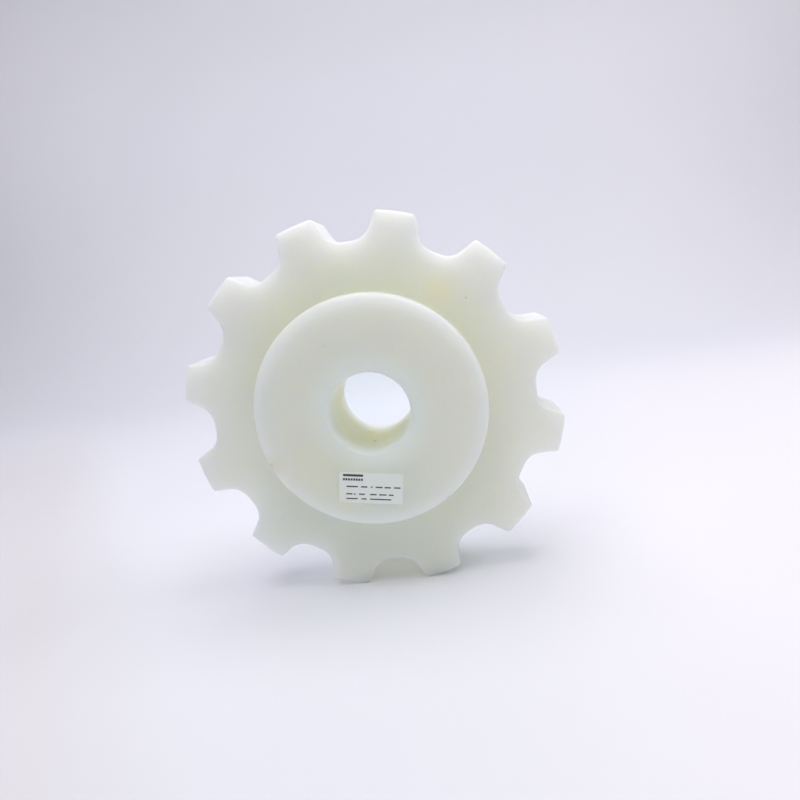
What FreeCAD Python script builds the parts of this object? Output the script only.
import FreeCAD, Part
import math
import os

from FreeCAD import Vector

# Idler sprocket of translucent plastic for a roller chain: a toothed plate with a
# round hub standing out on both faces and one plain bore, all machined in one piece,
# and a small adhesive label on the front hub face.
#
# The wheel turns about the Y axis. Its origin is on that axis, half way through the
# plate. +Y points to the back, +Z up, and the front hub face with the label looks
# along -Y. Two teeth point down, one each side of the middle, and the wheel stands
# on them. All lengths are in millimetres.

# Chain and teeth
chain_pitch = 38.1
tooth_count = 12
tip_diameter = 152.4
tip_land = 15.25
roller_seat_radius = 8.4
roller_seat_flat = 3.8

# Plate and hub
plate_thickness = 25.4
hub_diameter = 91.5
hub_height = 9.5
bore_diameter = 31.75

# Broken edges, cut at 45 degrees
plate_edge_break = 0.6
hub_edge_break = 1.2
bore_edge_break = 1.0

# Label
label_width = 25.4
label_height = 12.7
label_thickness = 0.15
label_corner_radius = 0.9
label_drop = 29.9
label_shift = -3.9
label_turn_degrees = 9.0

# Worked out from the sizes above
tip_radius = tip_diameter / 2.0
pitch_radius = chain_pitch / (2.0 * math.sin(math.pi / tooth_count))
hub_radius = hub_diameter / 2.0
bore_radius = bore_diameter / 2.0
plate_face = plate_thickness / 2.0
hub_face = plate_face + hub_height
tooth_angle = 360.0 / tooth_count


def flat_turn(point, degrees):
    """Turn a point of the tooth outline about the wheel's axis, positive from X to Z."""
    angle = math.radians(degrees)
    x = point.x * math.cos(angle) - point.z * math.sin(angle)
    z = point.x * math.sin(angle) + point.z * math.cos(angle)
    return Vector(x, point.y, z)


def gap_edges(direction_degrees, y):
    """Edges of one tooth gap, left tip corner to right tip corner, and those corners.

    In its own frame the gap opens along +Z. Its bottom is a short flat between two
    seats for the roller, whose centres lie on the pitch circle, and a straight flank
    leaves each seat at a tangent and runs up to the tooth's tip.
    """
    half_gap_angle = math.radians(tooth_angle / 2.0) - math.asin(tip_land / 2.0 / tip_radius)
    corner = Vector(tip_radius * math.sin(half_gap_angle), y, tip_radius * math.cos(half_gap_angle))
    centre = Vector(roller_seat_flat / 2.0, y, pitch_radius)
    to_corner = corner.sub(centre)
    reach = math.hypot(to_corner.x, to_corner.z)
    towards = math.atan2(to_corner.z, to_corner.x)
    leave = towards - math.acos(roller_seat_radius / reach)
    bottom = -math.pi / 2.0

    def on_seat(angle):
        x = centre.x + roller_seat_radius * math.cos(angle)
        z = centre.z + roller_seat_radius * math.sin(angle)
        return Vector(x, y, z)

    def mirrored(point):
        return Vector(-point.x, point.y, point.z)

    flank_start = on_seat(leave)
    seat_middle = on_seat((bottom + leave) / 2.0)
    seat_start = on_seat(bottom)
    turn = direction_degrees - 90.0

    def placed(point):
        return flat_turn(point, turn)

    left_corner = placed(mirrored(corner))
    left_flank = placed(mirrored(flank_start))
    left_middle = placed(mirrored(seat_middle))
    left_seat = placed(mirrored(seat_start))
    right_seat = placed(seat_start)
    right_middle = placed(seat_middle)
    right_flank = placed(flank_start)
    right_corner = placed(corner)
    edges = [
        Part.makeLine(left_corner, left_flank),
        Part.Arc(left_flank, left_middle, left_seat).toShape(),
        Part.makeLine(left_seat, right_seat),
        Part.Arc(right_seat, right_middle, right_flank).toShape(),
        Part.makeLine(right_flank, right_corner),
    ]
    return edges, left_corner, right_corner


def lies_on_plate_face(edge):
    """True for the edges around the front and back faces of the plate."""
    return abs(edge.BoundBox.YMax - edge.BoundBox.YMin) < 0.01


def toothed_plate():
    """The plate with all its teeth, with its sharp edges broken."""
    y = -plate_face
    outline = []
    first_corner = None
    last_corner = None
    for index in range(tooth_count):
        gap_direction = 90.0 - index * tooth_angle
        edges, left_corner, right_corner = gap_edges(gap_direction, y)
        if first_corner is None:
            first_corner = left_corner
        else:
            tooth_direction = math.radians(gap_direction + tooth_angle / 2.0)
            tip = Vector(tip_radius * math.cos(tooth_direction), y, tip_radius * math.sin(tooth_direction))
            outline.append(Part.Arc(last_corner, tip, left_corner).toShape())
        outline.extend(edges)
        last_corner = right_corner
    closing_direction = math.radians(90.0 + tooth_angle / 2.0)
    tip = Vector(tip_radius * math.cos(closing_direction), y, tip_radius * math.sin(closing_direction))
    outline.append(Part.Arc(last_corner, tip, first_corner).toShape())
    face = Part.Face(Part.Wire(outline))
    plate = face.extrude(Vector(0, plate_thickness, 0))
    face_edges = [edge for edge in plate.Edges if lies_on_plate_face(edge)]
    return plate.makeChamfer(plate_edge_break, face_edges)


def hub_with_bore():
    """The hub, turned from its half section: flat faces, broken rims, a bore open at both ends."""

    def half_section(side):
        """Corners from the bore's wall out to the rim on one side, -1 in front and +1 behind."""
        bore_wall_end = Vector(bore_radius, side * (hub_face - bore_edge_break), 0)
        bore_mouth = Vector(bore_radius + bore_edge_break, side * hub_face, 0)
        face_rim = Vector(hub_radius - hub_edge_break, side * hub_face, 0)
        side_rim = Vector(hub_radius, side * (hub_face - hub_edge_break), 0)
        return [bore_wall_end, bore_mouth, face_rim, side_rim]

    front = half_section(-1)
    back = half_section(1)
    back.reverse()
    section = Part.Face(Part.makePolygon(front + back + front[:1]))
    return section.revolve(Vector(0, 0, 0), Vector(0, 1, 0), 360)


def make_sprocket():
    """Plate and hub in one piece, with the bore through both."""
    hole_radius = (hub_radius + bore_radius) / 2.0
    hole_start = Vector(0, -plate_face, 0)
    middle_hole = Part.makeCylinder(hole_radius, plate_thickness, hole_start, Vector(0, 1, 0))
    wheel = toothed_plate().cut(middle_hole).fuse(hub_with_bore()).removeSplitter()
    return wheel.Solids[0]


def make_label():
    """Thin label with rounded corners, stuck flat on the front hub face below the bore."""
    half_width = label_width / 2.0
    corner = Vector(label_shift - half_width, -hub_face - label_thickness, -label_drop - label_height / 2.0)
    sheet = Part.makeBox(label_width, label_thickness, label_height, corner)
    corners = [edge for edge in sheet.Edges if abs(edge.tangentAt(edge.FirstParameter).y) > 0.9]
    sheet = sheet.makeFillet(label_corner_radius, corners)
    sheet.rotate(Vector(label_shift, 0, -label_drop), Vector(0, 1, 0), label_turn_degrees)
    return sheet


def main():
    os.makedirs("parts", exist_ok=True)
    nodes = {
        "sprocket": make_sprocket(),
        "label": make_label(),
    }
    for name, shape in nodes.items():
        shape.exportStep(os.path.join("parts", name + ".step"))
        box = shape.BoundBox
        print(name, len(shape.Solids), shape.isValid(), round(shape.Volume, 1))
        print(round(box.XMin, 2), round(box.XMax, 2), round(box.YMin, 2), round(box.YMax, 2))
        print(round(box.ZMin, 2), round(box.ZMax, 2))


main()
